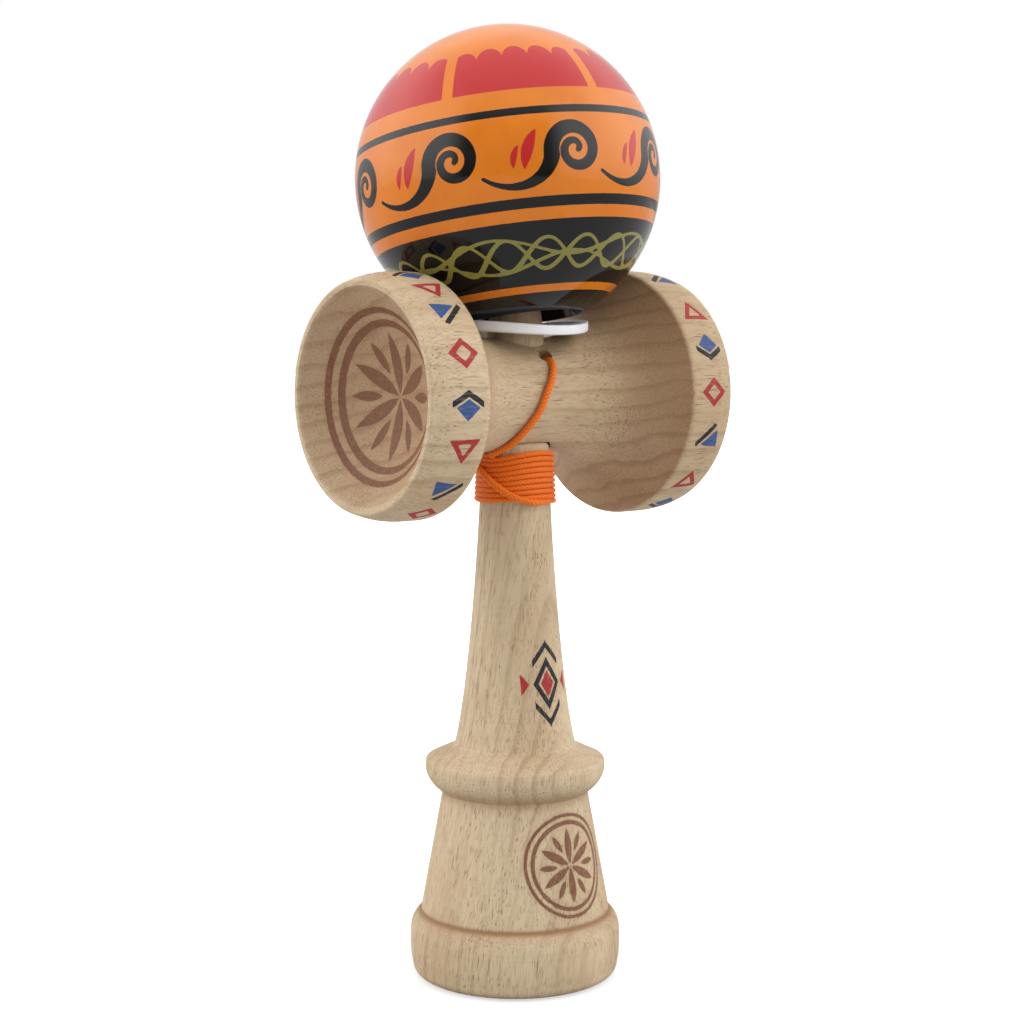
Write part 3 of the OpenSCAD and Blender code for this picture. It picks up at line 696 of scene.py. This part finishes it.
class Shader:
    """The nodes of a material or world, and short calls that add to them."""

    def __init__(self, owner):
        owner.use_nodes = True
        self.owner, self.tree = owner, owner.node_tree
        self.main = self.tree.nodes.get("Principled BSDF") or self.tree.nodes["Background"]

    def put(self, socket, value):
        if isinstance(value, bpy.types.NodeSocket):
            self.tree.links.new(value, socket)
        else:
            socket.default_value = value

    def fill(self, values):
        """Sets or links inputs of the main shader."""
        for key, value in values.items():
            self.put(self.main.inputs[key], value)

    def node(self, kind, inputs=(), **settings):
        n = self.tree.nodes.new("ShaderNode" + kind)
        for key, value in settings.items():
            setattr(n, key, value)
        for key, value in dict(inputs).items():
            self.put(n.inputs[key], value)
        return n

    def math(self, op, a, b=0.0):
        return self.node("Math", {0: a, 1: b}, operation=op).outputs[0]

    def times(self, a, b):
        return self.math("MULTIPLY", a, b)

    def length(self, vector):
        return self.node("VectorMath", {0: vector}, operation="LENGTH").outputs["Value"]

    def dot(self, a, b):
        return self.node("VectorMath", {0: a, 1: b}, operation="DOT_PRODUCT").outputs["Value"]

    def mix(self, amount, a, b):
        return self.node("Mix", {0: amount, 6: a, 7: b}, data_type="RGBA").outputs[2]

    def ramp(self, value, low, high, a=0.0, b=1.0):
        inputs = {0: value, 1: low, 2: high, 3: a, 4: b}
        return self.node("MapRange", inputs, interpolation_type="SMOOTHSTEP").outputs[0]

    def number(self, name):
        return self.node("Attribute", attribute_name=name).outputs["Fac"]

    def noise(self, vector, scale, detail=2.0, rough=0.5):
        inputs = {"Vector": vector, "Scale": scale, "Detail": detail, "Roughness": rough}
        return self.node("TexNoise", inputs).outputs["Fac"]

    def at(self, output="Object"):
        return self.node("TexCoord").outputs[output]

    def mapped(self, scale=(1, 1, 1), rotation=(0, 0, 0), location=(0, 0, 0), source=None):
        inputs = {"Vector": source or self.at(), "Scale": scale, "Rotation": rotation, "Location": location}
        return self.node("Mapping", inputs).outputs[0]

    def bump(self, height, distance, strength):
        return self.node("Bump", {"Height": height, "Distance": distance, "Strength": strength}).outputs[0]

    def ink(self, name, edge, wobble, amount):
        """1 inside a drawn shape, with a slightly uneven edge."""
        uneven = self.times(self.math("SUBTRACT", wobble, 0.5), amount)
        return self.ramp(self.math("ADD", self.number(name), uneven), -edge, edge, 1.0, 0.0)


def new_shader(name):
    return Shader(bpy.data.materials.new(name))


INK_RED, INK_BLUE, INK_BLACK = srgb(166, 46, 50), srgb(56, 84, 138), srgb(34, 34, 36)


def wood(name, grain, pith, spacing, tones, inks, axis, end_tone, lathe):
    """Beech: growth rings round a distant pith, short dark pores along the grain, rays and fine fibre.
    grain turns the grain onto Z, pith is the tree's centre in that frame, in metres, spacing is that of the growth
    rings in mm, tones are the light and the dark colour, axis is the direction of the grain, end_tone is how much the
    end grain darkens, and lathe gives the place along which the turning marks change."""
    s = new_shader(name)
    turned = s.mapped(rotation=grain)

    def along_grain(stretch, scale, detail=2.0, rough=0.5, location=(0, 0, 0)):
        return s.noise(s.mapped(scale=(1, 1, stretch), location=location, source=turned), scale, detail, rough)

    # Growth rings and the wide changes of tone
    from_pith = s.length(s.mapped(scale=(1, 1, 0.03), location=pith, source=turned))
    rings = s.math("ADD", s.math("DIVIDE", from_pith, spacing * MM), s.times(along_grain(0.22, 70, 3, 0.6), 1.8))
    phase = s.math("FRACT", rings)
    late = s.times(s.ramp(phase, 0.5, 0.88), s.ramp(phase, 0.89, 1.0, 1.0, 0.0))
    colour = s.mix(s.ramp(along_grain(0.3, 42, 4, 0.6), 0.32, 0.68), *tones)
    faint = s.ramp(along_grain(0.5, 60), 0.35, 0.65, 0.1, 0.4)
    colour = s.mix(s.times(late, faint), colour, srgb(158, 126, 92))

    # Fibre, pores and rays
    fibre = along_grain(0.07, 2400, 3, 0.6)
    colour = s.mix(s.times(s.ramp(fibre, 0.38, 0.72), 0.3), colour, srgb(160, 132, 98))
    level = s.math("ADD", 0.662, s.times(s.math("SUBTRACT", along_grain(0.4, 130), 0.5), -0.3))
    pore = s.ramp(s.math("SUBTRACT", along_grain(0.05, 4300, 1, 0.4), level), 0.0, 0.06)
    colour = s.mix(s.times(pore, 0.66), colour, srgb(112, 78, 48))
    rays = along_grain(0.2, 2500, 0, 0.5, (0.3, 0.1, 0.2))
    colour = s.mix(s.ramp(rays, 0.62, 0.72, 0.0, 0.3), colour, srgb(158, 124, 88))

    # End grain, darker bands at the ken's creases, painted shade on the ken's spike, and turning marks
    end = s.ramp(s.math("ABSOLUTE", s.dot(s.at("Normal"), axis)), 0.3, 0.95)
    end = s.times(end, s.times(s.math("SUBTRACT", 1.0, s.number("lip")), end_tone))
    speck = s.noise(s.mapped(), 4200, 2, 0.7)
    colour = s.mix(s.times(end, s.ramp(speck, 0.3, 0.7, 0.42, 0.72)), colour, srgb(144, 101, 66))
    # The tone attribute: darker bands at the ken's creases and painted shade on its spike
    colour = s.mix(s.number("tone"), colour, srgb(150, 112, 76))
    colour = s.mix(s.times(end, s.times(late, 0.14)), colour, srgb(116, 78, 50))
    turning = s.node("TexNoise", {"W": lathe(s), "Scale": 1700.0, "Detail": 3.0, "Roughness": 0.65},
                     noise_dimensions="1D").outputs["Fac"]
    colour = s.mix(s.ramp(turning, 0.56, 0.74, 0.0, 0.1), colour, srgb(150, 118, 84))

    # Burnt and printed marks
    uneven = s.noise(s.mapped(), 900, 3, 0.7)
    worn = s.ramp(s.math("ADD", s.times(fibre, 0.6), s.times(uneven, 0.4)), 0.3, 0.6, 0.8, 1.0)
    burnt = s.mix(uneven, srgb(132, 86, 64), srgb(100, 60, 44))
    colour = s.mix(s.times(s.ink("burn", 0.09, uneven, 0.5), worn), colour, burnt)
    colour = s.mix(s.ramp(s.number("burn"), 0.0, 0.9, 0.14, 0.0), colour, srgb(150, 112, 78))
    worn = s.ramp(fibre, 0.26, 0.5, 0.82, 1.0)
    for att, tone in inks:
        colour = s.mix(s.times(s.ink(att, 0.05, uneven, 0.22), worn), colour, tone)

    relief = s.math("ADD", s.math("SUBTRACT", s.times(fibre, 0.25), pore), s.times(turning, 0.5))
    s.fill({"Base Color": colour, "Roughness": s.ramp(fibre, 0.3, 0.8, 0.52, 0.68), "Specular IOR Level": 0.25,
            "Normal": s.bump(relief, 0.00006, 0.7)})
    return s.owner


def up_the_ken(s):
    return s.node("SeparateXYZ", {0: s.at()}).outputs["Z"]


def round_the_cups(s):
    return s.length(s.mapped(scale=(0, 1, 1), location=(0, 0, -CUP_Z * MM)))


def lacquer():
    s = new_shader("lacquer")
    blotch = s.noise(s.mapped(), 120, 3)
    grainy = s.noise(s.mapped(scale=(1, 1, 0.12)), 900, 2)
    colour = s.mix(s.ramp(blotch, 0.3, 0.75), srgb(225, 127, 28), srgb(217, 117, 20))
    colour = s.mix(s.ramp(grainy, 0.6, 0.8, 0.0, 0.1), colour, srgb(170, 78, 10))
    edge = s.noise(s.mapped(), 1500, 2)
    for att, tone in (("ink_red", (190, 38, 38)), ("ink_black", (10, 10, 12)), ("ink_olive", (138, 132, 62))):
        colour = s.mix(s.ink(att, 0.06, edge, 0.1), colour, srgb(*tone))
    # The inside of the holes, off the lacquered skin, is coloured near black
    hole_inside = s.mix(s.noise(s.mapped(scale=(1, 1, 0.1)), 1200, 3), srgb(30, 26, 24), srgb(14, 13, 13))
    peel = s.noise(s.mapped(), 420, 2)
    s.fill({"Base Color": s.mix(s.number("skin"), hole_inside, colour), "Roughness": 0.4, "Specular IOR Level": 0.0,
            "Coat Weight": 1.0, "Coat Roughness": 0.08, "Coat IOR": 1.42, "Normal": s.bump(peel, 0.00002, 0.25)})
    return s.owner


def braided_cord():
    s = new_shader("braided_cord")
    streak = s.noise(s.mapped(), 2600, 2)
    # Painted shade and highlight of the braid: the strands' crests are coloured lighter and the grooves between them
    # darker
    colour = s.mix(s.ramp(s.number("braid_shade"), -0.2, 0.95), srgb(226, 100, 10), srgb(248, 126, 26))
    colour = s.mix(s.ramp(streak, 0.5, 0.75, 0.0, 0.3), colour, srgb(250, 146, 56))
    s.fill({"Base Color": colour, "Roughness": 0.62, "Specular IOR Level": 0.3, "Sheen Weight": 0.12,
            "Sheen Roughness": 0.4, "Normal": s.bump(streak, 0.00003, 0.5)})
    return s.owner


def white_plastic():
    s = new_shader("white_plastic")
    grain = s.noise(s.mapped(), 900, 3)
    s.fill({"Base Color": s.mix(grain, srgb(247, 248, 250), srgb(241, 242, 245)),
            "Roughness": s.ramp(grain, 0.3, 0.7, 0.32, 0.42), "Normal": s.bump(grain, 0.00001, 0.3)})
    return s.owner


def bead_wood():
    s = new_shader("bead_wood")
    grain = s.noise(s.mapped(scale=(1, 1, 0.15)), 1400, 3)
    s.fill({"Base Color": s.mix(grain, srgb(216, 190, 152), srgb(182, 148, 108)), "Roughness": 0.5,
            "Normal": s.bump(grain, 0.00004, 0.5)})
    return s.owner


# The pieces
ken = build_ken()
sarado = build_cups()
tama = build_tama()
ring = build_ring()
string, string_path, string_length = build_string()
bead_tie = build_knot("bead_tie", on_tama((0, 0, BEAD_KNOT_AT)), BEAD_KNOT_D, TAMA_TURN)
hole_way = np.array([0, -math.cos(HOLE_ANGLE), math.sin(HOLE_ANGLE)])
ken_tie = build_knot("ken_tie", np.array([HOLE_X, 0, CUP_Z]) + KEN_KNOT_AT * hole_way, KEN_KNOT_D,
                     np.c_[[1, 0, 0], np.cross(hole_way, [1, 0, 0]), hole_way])
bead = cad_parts["string_bead"]

ken_wood = wood("beech_ken", grain=(math.radians(-4.4), math.radians(-5.3), math.radians(-25)),
                pith=(0.012, 0.074, 0.0), spacing=3.1, tones=(srgb(214, 194, 162), srgb(196, 172, 138)),
                inks=(("ink_red", INK_RED), ("ink_black", INK_BLACK)), axis=(0, 0, 1), end_tone=0.25,
                lathe=up_the_ken)
cup_wood = wood("beech_cups", grain=(0, math.radians(90), math.radians(8)), pith=(0.05, 0.045, 0.0), spacing=3.6,
                tones=(srgb(211, 189, 157), srgb(193, 167, 132)),
                inks=(("ink_red", INK_RED), ("ink_blue", INK_BLUE), ("ink_black", INK_BLACK)), axis=(1, 0, 0),
                end_tone=1.0, lathe=round_the_cups)
cord_look = braided_cord()
dress(ken, ken_wood, "ken", "beech", "ken")
dress(sarado, cup_wood, "ken", "beech", "sarado")
dress(tama, lacquer(), "tama", "lacquer", "tama")
dress(ring, white_plastic(), "spacer", "white_plastic", "spacer_ring")
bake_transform(string, "ken", "bead", start=(0, 0.013, 0.118), end=(0, 0.031, 0.146))
dress(string, cord_look, "ken", "cord", "string_lead", "string_wrap", "string_riser", "string_tail")
dress(bead_tie, cord_look, "bead", "cord", "bead_knot")
dress(ken_tie, cord_look, "ken", "cord", "ken_knot")
bead.data.materials.clear()
bead.data.materials.append(bead_wood())

# Floor: it keeps the shadow round the base and fades to plain white away from it
FLOOR_HALF, FLOOR_DROP, FLOOR_GREY, FLOOR_MIRRORED = 6, 0.0002, 0.5, 0.05
floor_mesh = bpy.data.meshes.new("floor")
floor_mesh.from_pydata([(x * FLOOR_HALF, y * FLOOR_HALF, 0) for x, y in ((-1, -1), (1, -1), (1, 1), (-1, 1))],
                       [], [(0, 1, 2, 3)])
floor = bpy.data.objects.new("floor", floor_mesh)
floor.location.z = -FLOOR_DROP
scene.collection.objects.link(floor)
s = new_shader("floor_white")
info = s.node("LightPath").outputs
seen = s.times(info["Is Camera Ray"], s.ramp(s.length(s.at()), 0.05, 0.2, 0.58, 1.0))
mirrored = s.times(s.math("ADD", info["Is Glossy Ray"], info["Is Transmission Ray"]), FLOOR_MIRRORED)
s.fill({"Base Color": (FLOOR_GREY, FLOOR_GREY, FLOOR_GREY, 1), "Roughness": 0.9, "Specular IOR Level": 0.0,
        "Emission Color": (1, 1, 1, 1), "Emission Strength": s.math("MAXIMUM", seen, mirrored)})
floor_mesh.materials.append(s.owner)

# Light: a white tent with soft light at both sides and above, open towards the photographer
TENT_OPEN, TENT_SIDE, TENT_BACK, TENT_ROOF, TENT_LOW = 0.36, 2.4, 0.35, 1.3, 0.4
scene.world = bpy.data.worlds.new("studio")
s = Shader(scene.world)
ray = s.at("Generated")
ahead = s.dot(ray, (-math.sin(AZIMUTH), -math.cos(AZIMUTH), 0))
across = s.dot(ray, (math.cos(AZIMUTH), -math.sin(AZIMUTH), 0))
above = s.dot(ray, (0, 0, 1))
opening = s.math("SUBTRACT", s.math("ABSOLUTE", across), s.times(ahead, 0.72))
tent = s.ramp(opening, -0.12, 0.3, TENT_OPEN, TENT_SIDE)
tent = s.times(tent, s.ramp(ahead, -0.95, -0.1, TENT_BACK, 1.0))
tent = s.times(tent, s.ramp(above, -0.15, 0.3, TENT_LOW, 1.0))
roof = s.ramp(above, 0.5, 0.95)
tent = s.math("ADD", s.times(tent, s.math("SUBTRACT", 1.0, roof)), s.times(roof, TENT_ROOF))
info = s.node("LightPath").outputs
clear = s.math("MAXIMUM", info["Is Camera Ray"], info["Is Transmission Ray"])
s.fill({"Color": (1, 1, 1, 1), "Strength": s.node("MapRange", {0: clear, 3: tent, 4: 1.0}).outputs[0]})

scene.view_settings.view_transform = "Standard"
